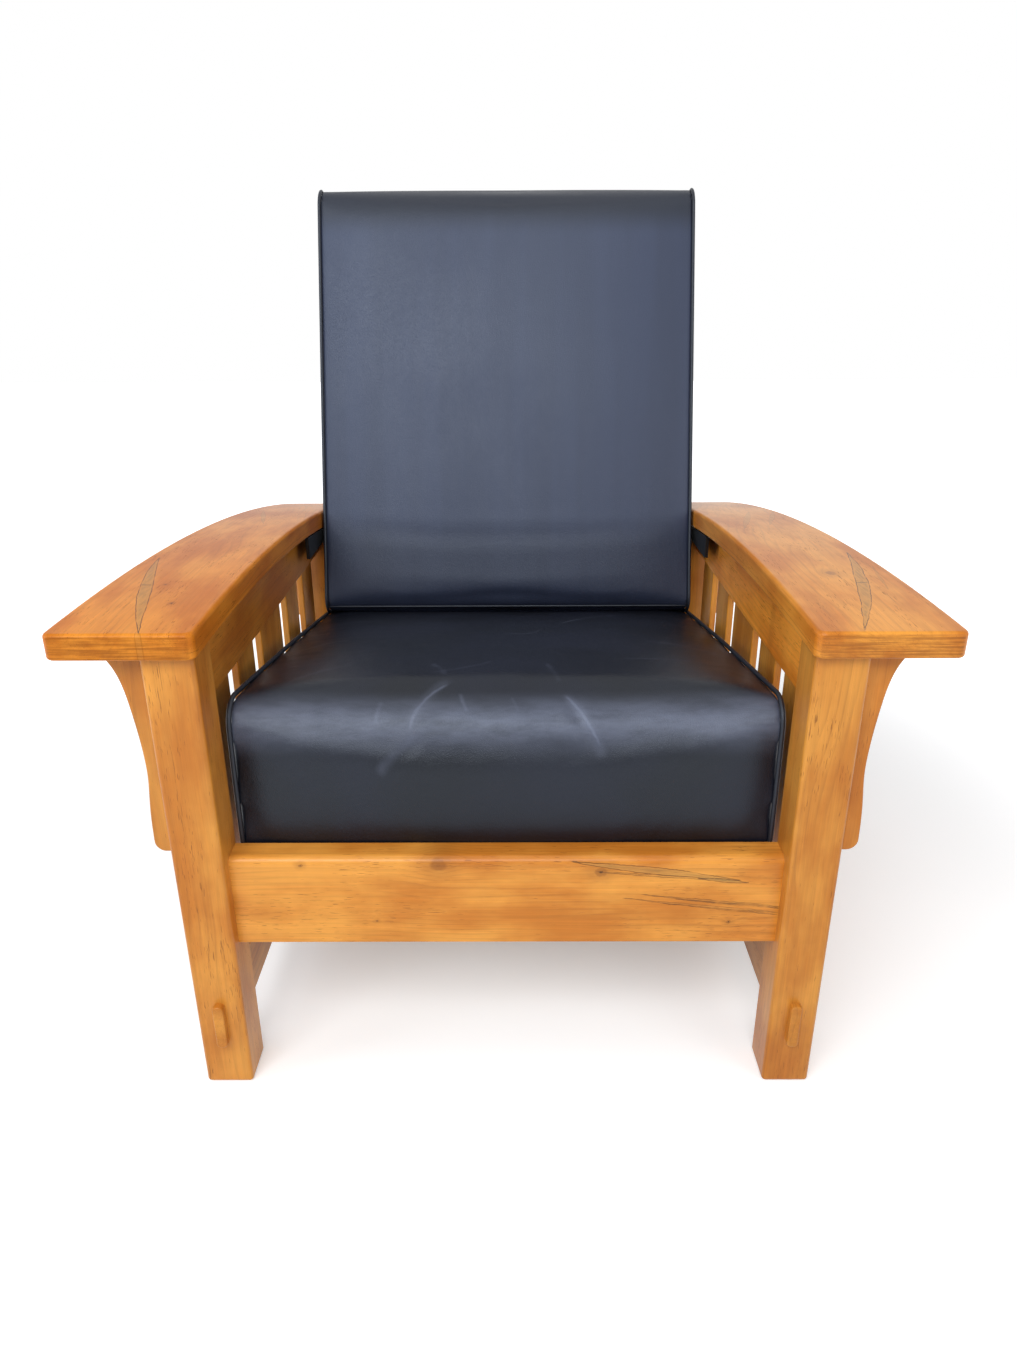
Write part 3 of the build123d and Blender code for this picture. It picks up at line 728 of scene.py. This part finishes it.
# Cushions
profileSteps = {"front": 14, "frontArc": 16, "top": 40, "rearArc": 10, "rear": 10}
edgeShare = {"top": 0.15, "end": 0.4}  # how much of the swelling is left at the seams
formGrid = {"across": 41, "round": 150, "crowding": 2.4}
lineCount = {"welt": 260, "sewn": 200, "straight": 80, "crease": 60, "unrolled": 500}
clothFill = {"quality": 6, "mass": 0.4, "shearShare": 3, "levels": 10, "smoothing": 0.5}
sewnReach = {"full": 0.004, "fade": 0.010, "bed": 0.006}  # how near the seams and bed it is held


def arcPoints(centre, radius, start, end, count):
    angles = np.linspace(math.radians(start), math.radians(end), count)
    return [(centre[0] + radius * math.cos(a), centre[1] + radius * math.sin(a)) for a in angles]


# A side view of the cushion lying flat: Y from its front, Z over its bed. It runs from the front's
# foot over the top to the rear's foot. share runs from -1 to 1 across the width.
def boxedProfile(size, share, shrink):
    full = 1 - abs(share) ** size["fullness"]

    def between(atSeam, atMiddle=1):
        return atSeam + (atMiddle - atSeam) * full

    front = size["front"] * between(size["sideHeight"])
    rear = size["rear"] * between(size["rearSide"])
    crown = size["crown"] * between(edgeShare["top"]) - shrink * full
    swell = size["swell"] * between(edgeShare["top"]) - shrink * full
    endSwell = size["endSwell"] * between(edgeShare["end"]) - shrink * full
    length, lean, rearRound = size["length"], size["lean"], size["rearRound"]
    frontRound = between(size["seamRound"], size["frontRound"])
    begin = frontRound - lean
    points = []
    for i in range(profileSteps["front"]):
        t = i / profileSteps["front"]
        points.append((-swell * math.sin(math.pi * t) - lean * t, (front - frontRound) * t))
    centre = (begin, front - frontRound)
    points += arcPoints(centre, frontRound, 180, 90, profileSteps["frontArc"])
    for i in range(1, profileSteps["top"]):
        t = i / profileSteps["top"]
        y = begin + (length - begin - rearRound) * t
        base = front + (rear - front) * t
        points.append((y, base + crown * (1 - (2 * t - 1) ** 2) ** 0.8))
    centre = (length - rearRound, rear - rearRound)
    points += arcPoints(centre, rearRound, 90, 0, profileSteps["rearArc"])
    for i in range(1, profileSteps["rear"] + 1):
        t = i / profileSteps["rear"]
        points.append((length + endSwell * math.sin(math.pi * t), (rear - rearRound) * (1 - t)))
    return points


def distanceAlong(path):
    return np.r_[0, np.cumsum(np.linalg.norm(np.diff(path, axis=0), axis=1))]


def resample(points, count, closed=False):
    path = np.array(points, float)
    if closed:
        path = np.vstack((path, path[:1]))
    steps = distanceAlong(path)
    places = np.linspace(0, steps[-1], count + 1 if closed else count)
    found = np.column_stack([np.interp(places, steps, path[:, i]) for i in range(path.shape[1])])
    return found[:-1] if closed else found


# The distance from each point to the nearest target, and which target that is
def nearest(points, targets, chunk=4000):
    gap = np.empty(len(points))
    which = np.empty(len(points), int)
    for i in range(0, len(points), chunk):
        block = points[i : i + chunk]
        d = np.linalg.norm(block[:, None, :] - targets[None, :, :], axis=2)
        which[i : i + chunk] = d.argmin(axis=1)
        gap[i : i + chunk] = d.min(axis=1)
    return gap, which


def meshObject(name, verts, faces):
    mesh = bpy.data.meshes.new(name)
    mesh.from_pydata([tuple(v) for v in verts], [], faces)
    mesh.validate()
    mesh.update()
    piece = bpy.data.objects.new(name, mesh)
    scene.collection.objects.link(piece)
    return piece


# Faces between rings of points, and over the two ends of a row that isn't closed
def ringFaces(rows, count, closed):
    faces = []
    for i in range(rows if closed else rows - 1):
        j = (i + 1) % rows
        for k in range(count):
            m = (k + 1) % count
            faces.append((i * count + k, i * count + m, j * count + m, j * count + k))
    if not closed:
        last = (rows - 1) * count
        faces.append(tuple(range(count))[::-1])
        faces.append(tuple(last + k for k in range(count)))
    return faces


def vertexValues(piece, label):
    found = np.zeros(len(piece.data.vertices) * 3)
    piece.data.vertices.foreach_get(label, found)
    return found.reshape(-1, 3)


def setCoords(piece, co):
    piece.data.vertices.foreach_set("co", np.ascontiguousarray(co, dtype=np.float32).ravel())
    piece.data.update()


def applyModifiers(piece):
    evaluated = piece.evaluated_get(bpy.context.evaluated_depsgraph_get())
    mesh = bpy.data.meshes.new_from_object(evaluated)
    old = piece.data
    piece.modifiers.clear()
    piece.data = mesh
    bpy.data.meshes.remove(old)


def modified(piece, kind, **settings):
    modifier = piece.modifiers.new(kind.lower(), kind)
    for key, value in settings.items():
        setattr(modifier, key, value)
    applyModifiers(piece)


# The seam round one side panel, a closed line in the cushion's own flat place
def seamPoints(size, side, count):
    loop = resample(boxedProfile(size, 1.0, 0.0), count, closed=True)
    return np.column_stack((np.full(len(loop), side * size["seamX"]), loop))


# A closed form a little smaller than the cushion, for the simulation to fill
def cushionBody(name, size):
    crowding, count = formGrid["crowding"], formGrid["round"]
    shares = np.tanh(np.linspace(-crowding, crowding, formGrid["across"])) / math.tanh(crowding)
    rings = []
    for share in shares:
        outline = resample(boxedProfile(size, share, size["slack"]), count, closed=True)
        rings.append(np.column_stack((np.full(count, share * size["seamX"]), outline)))
    piece = meshObject(name, np.vstack(rings), ringFaces(len(rings), count, closed=False))
    bm = bmesh.new()
    bm.from_mesh(piece.data)
    bmesh.ops.recalc_face_normals(bm, faces=bm.faces)
    bm.to_mesh(piece.data)
    bm.free()
    return piece


# Cloth under a little pressure, sewn down at the seams and flat on its bed
def inflate(piece, size):
    seams = np.vstack([seamPoints(size, side, lineCount["sewn"]) for side in (-1, 1)])
    start = vertexValues(piece, "co")
    gap = nearest(start, seams)[0]
    held = np.clip(1 - (gap - sewnReach["full"]) / sewnReach["fade"], 0, 1)
    bed = np.clip(1 - start[:, 2] / sewnReach["bed"], 0, 1)
    weights = np.maximum(held, bed)
    group = piece.vertex_groups.new(name="sewn")
    levels = clothFill["levels"]
    for level in range(1, levels + 1):
        chosen = np.where(np.round(weights * levels) == level)[0]
        if len(chosen):
            group.add(chosen.tolist(), level / levels, "REPLACE")
    cloth = piece.modifiers.new("cloth", "CLOTH")
    settings = cloth.settings
    settings.vertex_group_mass = "sewn"
    settings.quality = clothFill["quality"]
    settings.mass = clothFill["mass"]
    settings.tension_stiffness = size["stiffness"]
    settings.compression_stiffness = size["stiffness"]
    settings.shear_stiffness = size["stiffness"] / clothFill["shearShare"]
    settings.bending_stiffness = size["bending"]
    settings.use_pressure = True
    settings.uniform_pressure_force = size["pressure"]
    settings.shrink_min = -size["ease"]
    settings.effector_weights.gravity = 0
    cloth.collision_settings.use_collision = False
    for step in range(1, size["steps"] + 1):
        scene.frame_set(step)
    applyModifiers(piece)
    move = vertexValues(piece, "co") - start
    reach = np.linalg.norm(move, axis=1, keepdims=True)
    cap = size["cap"]
    scale = np.where(reach > 1e-9, cap * np.tanh(reach / cap) / np.maximum(reach, 1e-9), 0)
    setCoords(piece, start + move * scale)
    scene.frame_set(1)
    easing = {"factor": clothFill["smoothing"], "iterations": size["soften"]}
    modified(piece, "SMOOTH", **easing, vertex_group="sewn", invert_vertex_group=True)
    print(piece.name, "filled, largest move mm", round(float(reach.max()) * 1000, 1))


# Round piping along a line, closed on itself or with rounded-off ends
def sweepTube(name, path, radius, closed=True, sides=10):
    path = np.array(path, float)
    if closed:
        ahead = np.roll(path, -1, axis=0) - np.roll(path, 1, axis=0)
    else:
        ahead = np.gradient(path, axis=0)
    ahead /= np.linalg.norm(ahead, axis=1, keepdims=True)
    outward = np.array((1.0, 0.0, 0.0) if closed else (0.0, 1.0, 0.0))
    verts = []
    count = len(path)
    for i, (point, direction) in enumerate(zip(path, ahead)):
        first = np.cross(direction, outward)
        first /= np.linalg.norm(first)
        second = np.cross(direction, first)
        ease = 1.0 if closed else min(1.0, 0.35 + 0.25 * min(i, count - 1 - i))
        for k in range(sides):
            a = 2 * math.pi * k / sides
            verts.append(point + ease * radius * (math.cos(a) * first + math.sin(a) * second))
    return meshObject(name, verts, ringFaces(count, sides, closed))


# How far round the cushion each point lies, from the front's foot over the top, and x
def unrolled(points, size):
    outline = resample(boxedProfile(size, 0.0, 0.0), lineCount["unrolled"])
    which = nearest(points[:, 1:], outline)[1]
    return np.column_stack((points[:, 0], distanceAlong(outline)[which]))


# Folds pressed into the leather, with a low ridge on both sides:
# (points as x and distance round), depth, width
def pressCreases(piece, size):
    co = vertexValues(piece, "co")
    normals = vertexValues(piece, "normal")
    flat = unrolled(co, size)
    lift = np.zeros(len(co))
    inside = co[:, 2] > 0.012
    for points, depth, width in size["creases"]:
        samples = resample(points, lineCount["crease"])
        low, high = samples.min(axis=0) - 4 * width, samples.max(axis=0) + 4 * width
        chosen = np.where(inside & (flat > low).all(axis=1) & (flat < high).all(axis=1))[0]
        if not len(chosen):
            continue
        gap, which = nearest(flat[chosen], samples)
        taper = np.sin(math.pi * (which / (len(samples) - 1))) ** 0.7
        d = gap / width
        shape = -np.exp(-d * d) + 0.55 * np.exp(-((d - 1.7) ** 2) / 0.9)
        lift[chosen] += depth * taper * shape
    lift *= np.clip((size["seamX"] - np.abs(co[:, 0])) / 0.02, 0, 1)
    setCoords(piece, co + normals * lift[:, None])


def sideWelt(name, size, side):
    seam = seamPoints(size, side, lineCount["welt"])
    away = seam[:, 1:] - seam[:, 1:].mean(axis=0)
    away /= np.linalg.norm(away, axis=1, keepdims=True)
    seam[:, 1:] += away * size["weltOut"]
    seam[:, 0] += side * size["weltOut"] * 0.5
    seam[:, 1] = np.minimum(seam[:, 1], size["length"] + size["weltTop"])
    seam[:, 2] = np.maximum(seam[:, 2], size["weltRadius"] * 0.9)
    return sweepTube(name, seam, size["weltRadius"])


def crossSeam(name, size, y, z, radius):
    x = np.linspace(-1, 1, lineCount["straight"]) * (size["seamX"] - size["weltRadius"])
    swelling = size["swell"] * 0.4 * (1 - np.abs(x / size["seamX"]) ** 3)
    line = np.column_stack((x, np.full(len(x), y), z + swelling))
    return sweepTube(name, line, radius, closed=False)


def buildCushion(name, size, place, node, covering):
    cover = cushionBody(name + "_cover", size)
    modified(cover, "REMESH", mode="VOXEL", voxel_size=size["voxel"], use_smooth_shade=True)
    inflate(cover, size)
    modified(cover, "SUBSURF", levels=1, render_levels=1)
    pressCreases(cover, size)
    pieces = [cover]
    for side, label in ((-1, "left"), (1, "right")):
        pieces.append(sideWelt(f"{name}_welt_{label}", size, side))
    for label, y, z, radius in size["seams"]:
        pieces.append(crossSeam(f"{name}_{label}", size, y, z, radius))
    turn = np.array(place.to_3x3())
    for piece in pieces:
        setCoords(piece, vertexValues(piece, "co") @ turn.T + np.array(place.translation))
        piece.data.materials.clear()
        piece.data.materials.append(covering if piece is cover else weltLeather)
        piece.data.polygons.foreach_set("use_smooth", [True] * len(piece.data.polygons))
    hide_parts(node)
    return pieces


weltLeather = makeLeather("welt")
deckTilt = math.radians(5.5)
seatSize = {
    "length": 0.612,
    "front": 0.187,  # height over the bed at the front and the rear
    "rear": 0.141,
    "frontRound": 0.060,
    "seamRound": 0.030,
    "rearRound": 0.016,
    "lean": 0.012,
    "crown": 0.013,
    "swell": 0.006,
    "endSwell": 0.003,
    "seamX": 0.3030,
    "fullness": 3.2,
    "sideHeight": 0.97,  # height at the side seams as a share of the middle's
    "rearSide": 1.03,
    "slack": 0.003,
    "voxel": 0.0055,
    "pressure": 4.0,
    "stiffness": 18.0,
    "bending": 0.8,
    "ease": 0.006,
    "steps": 20,
    "cap": 0.005,  # the most that a point may move while it fills
    "soften": 14,
    "weltRadius": 0.0029,
    "weltOut": 0.0012,
    "weltTop": 0.002,
    "fill": 0.85,
    "seams": [],
    "creases": [
        ([(0.0642, 0.201), (0.0774, 0.170), (0.0914, 0.1452), (0.1083, 0.1152)], 0.0007, 0.007),
        ([(-0.0624, 0.2343), (-0.0761, 0.1842), (-0.0979, 0.1621), (-0.1123, 0.1416)], 0.0006, 0.007),
        ([(-0.0857, 0.158), (-0.1003, 0.133), (-0.1428, 0.0938)], 0.0005, 0.007),
    ],
}
# x and the distance up the front and back over the top
seatWrinkles = [
    ((0.0642, 0.2071), (0.1083, 0.1010), 0.004, 0.0100, 0.16),
    ((0.0660, 0.2040), (0.1050, 0.1180), 0.003, 0.0030, 0.32),
    ((-0.0624, 0.2435), (-0.1123, 0.1286), -0.006, 0.0110, 0.11),
    ((-0.0640, 0.2300), (-0.1080, 0.1380), -0.008, 0.0034, 0.28),
    ((-0.0857, 0.1482), (-0.1428, 0.0794), -0.004, 0.0100, 0.14),
    ((-0.1403, 0.1920), (-0.1447, 0.1484), 0.0, 0.0044, 0.20),
    ((-0.0521, 0.2078), (-0.0431, 0.1711), 0.0, 0.0040, 0.18),
    ((0.0060, 0.1990), (0.0142, 0.1709), 0.0, 0.0040, 0.12),
    ((-0.2539, 0.2193), (-0.1825, 0.2993), 0.010, 0.0040, 0.12),
    ((-0.2799, 0.3881), (-0.2130, 0.4476), 0.012, 0.0026, 0.34),
    ((-0.0900, 0.3000), (-0.0700, 0.2500), 0.002, 0.0060, 0.10),
    ((-0.0150, 0.3100), (-0.0900, 0.2600), 0.006, 0.0030, 0.12),
    ((0.0500, 0.3000), (0.0620, 0.2300), -0.002, 0.0050, 0.10),
    ((0.1810, 0.4286), (0.2773, 0.3697), 0.012, 0.0026, 0.24),
    ((0.0776, 0.5507), (0.1800, 0.6500), 0.014, 0.0030, 0.30),
    ((0.1386, 0.3222), (0.2343, 0.3210), 0.003, 0.0030, 0.14),
    ((-0.0152, 0.4863), (0.0488, 0.5165), -0.030, 0.0034, 0.16),
    ((-0.2654, 0.5775), (-0.1835, 0.5968), 0.010, 0.0034, 0.18),
    ((0.2300, 0.5900), (0.2850, 0.5200), 0.006, 0.0026, 0.18),
]
seatOrigin = (0, 0.054 + frontFace, 0.3003)
seatPlace = Matrix.Translation(seatOrigin) @ Matrix.Rotation(-deckTilt, 4, "X")
seatLeather = makeLeather("seat", seatWrinkles, (seatOrigin, (deckTilt, 0, 0)))
seatPieces = buildCushion("seat_cushion", seatSize, seatPlace, "seat_cushion", seatLeather)
for piece in seatPieces:
    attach(piece, "frame")
print("seat cushion done")

backSize = {
    "length": 0.681,
    "front": 0.138,
    "rear": 0.138,
    "frontRound": 0.024,
    "seamRound": 0.024,
    "rearRound": 0.034,
    "lean": 0.0,
    "crown": 0.012,
    "swell": 0.004,
    "endSwell": 0.008,
    "seamX": 0.2995,
    "fullness": 3.0,
    "sideHeight": 0.97,
    "rearSide": 0.97,
    "slack": 0.003,
    "voxel": 0.0055,
    "pressure": 3.0,
    "stiffness": 24.0,
    "bending": 1.0,
    "ease": 0.0,
    "steps": 20,
    "cap": 0.005,
    "soften": 8,
    "weltRadius": 0.0026,
    "weltOut": 0.0003,
    "weltTop": -0.002,
    "fill": 0.9,
    "seams": [("lower_seam", 0.0075, 0.1290, 0.0016)],
    "creases": [
        ([(-0.28, 0.264), (-0.10, 0.250), (0.10, 0.252), (0.28, 0.262)], 0.0006, 0.014),
        ([(-0.24, 0.170), (0.0, 0.163), (0.25, 0.172)], 0.0004, 0.010),
    ],
}
pivot = (0, 0.2622539, 0.325)
cushionOffset = (0, -0.0153, 0.037)  # from the back's hinge, along the leaning back
backPlace = Matrix.Translation(pivot) @ Matrix.Rotation(-recline, 4, "X")
backPlace = backPlace @ Matrix.Translation(cushionOffset) @ Matrix.Rotation(math.pi / 2, 4, "X")
backLeather = makeLeather("back", sheenZone=backSheen)
backPieces = buildCushion("back_cushion", backSize, backPlace, "back_cushion", backLeather)
for piece in backPieces:
    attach(piece, "back")
print("back cushion done")


# Floor, lamps and world
roomLight = {
    "world": (0.93, 0.96, 1.0, 1),
    "worldPower": 0.42,
    "floorColor": (0.86, 0.86, 0.86, 1),
    "floorGlow": 0.30,
    "floorReach": 9,
    "shadowReach": (0.75, 1.9),
    # each lamp's name, place, aim, width and height, power and colour
    "lamps": [
        ("window", (-0.7, -2.5, 2.55), (0, 0, 0.6), (2.4, 1.3), 76.0, (0.97, 0.985, 1.0)),
        ("side", (-3.0, -1.0, 1.6), (0, 0, 0.7), (1.6, 1.6), 32.0, (0.76, 0.88, 1.0)),
        ("fill", (2.2, -2.4, 1.6), (0, 0, 0.5), (1.4, 1.2), 16.0, (1.0, 0.96, 0.91)),
        ("ceiling", (0.0, -0.5, 3.0), (0, 0, 0.4), (1.6, 1.2), 9.0, (1.0, 0.98, 0.95)),
    ],
}


# The background is white to the camera and in reflections, and the floor near the chair keeps
# its shadow
def whiteRays(tree):
    path = tree.nodes.new("ShaderNodeLightPath").outputs
    seen = calc(tree, "MAXIMUM", path["Is Camera Ray"], path["Is Glossy Ray"])
    return calc(tree, "MAXIMUM", seen, path["Is Transmission Ray"])


def makeFloor():
    far = roomLight["floorReach"]
    verts = [(-far, -far, 0), (far, -far, 0), (far, far, 0), (-far, far, 0)]
    floor = meshObject("floor", verts, [(0, 1, 2, 3)])
    material, tree, shader = newMaterial("pale_floor")
    flat = scaled(tree, objectPlace(tree), (1.0, 1.0, 0.0))
    reach = vecCalc(tree, "LENGTH", flat, output=1)
    nearness = remap(tree, reach, *roomLight["shadowReach"], 1.0, 0.0)
    glow = calc(tree, "MULTIPLY_ADD", nearness, roomLight["floorGlow"] - 1.0, 1.0)
    shader.inputs["Base Color"].default_value = roomLight["floorColor"]
    shader.inputs["Roughness"].default_value = 0.9
    shader.inputs["Specular IOR Level"].default_value = 0.1
    shader.inputs["Emission Color"].default_value = (1, 1, 1, 1)
    glow = calc(tree, "MULTIPLY", whiteRays(tree), glow)
    tree.links.new(glow, shader.inputs["Emission Strength"])
    floor.data.materials.append(material)


def makeWorld():
    world = bpy.data.worlds.new("room")
    scene.world = world
    world.use_nodes = True
    tree = world.node_tree
    tree.nodes.clear()
    seen = whiteRays(tree)
    color = mixColor(tree, seen, roomLight["world"], (1, 1, 1, 1))
    power = remap(tree, seen, 0.0, 1.0, roomLight["worldPower"], 1.0, smooth=False)
    background = addNode(tree, "ShaderNodeBackground", (("Color", color), ("Strength", power)))
    output = tree.nodes.new("ShaderNodeOutputWorld")
    tree.links.new(background.outputs[0], output.inputs[0])


def addLamp(name, place, aim, size, power, color):
    data = bpy.data.lights.new(name, "AREA")
    data.shape = "RECTANGLE"
    data.size, data.size_y = size
    data.energy = power
    data.color = color
    lamp = bpy.data.objects.new(name, data)
    lamp.location = place
    direction = Vector(aim) - Vector(place)
    lamp.rotation_euler = direction.to_track_quat("-Z", "Y").to_euler()
    scene.collection.objects.link(lamp)


makeFloor()
makeWorld()
for lamp in roomLight["lamps"]:
    addLamp(*lamp)

print("scene done")
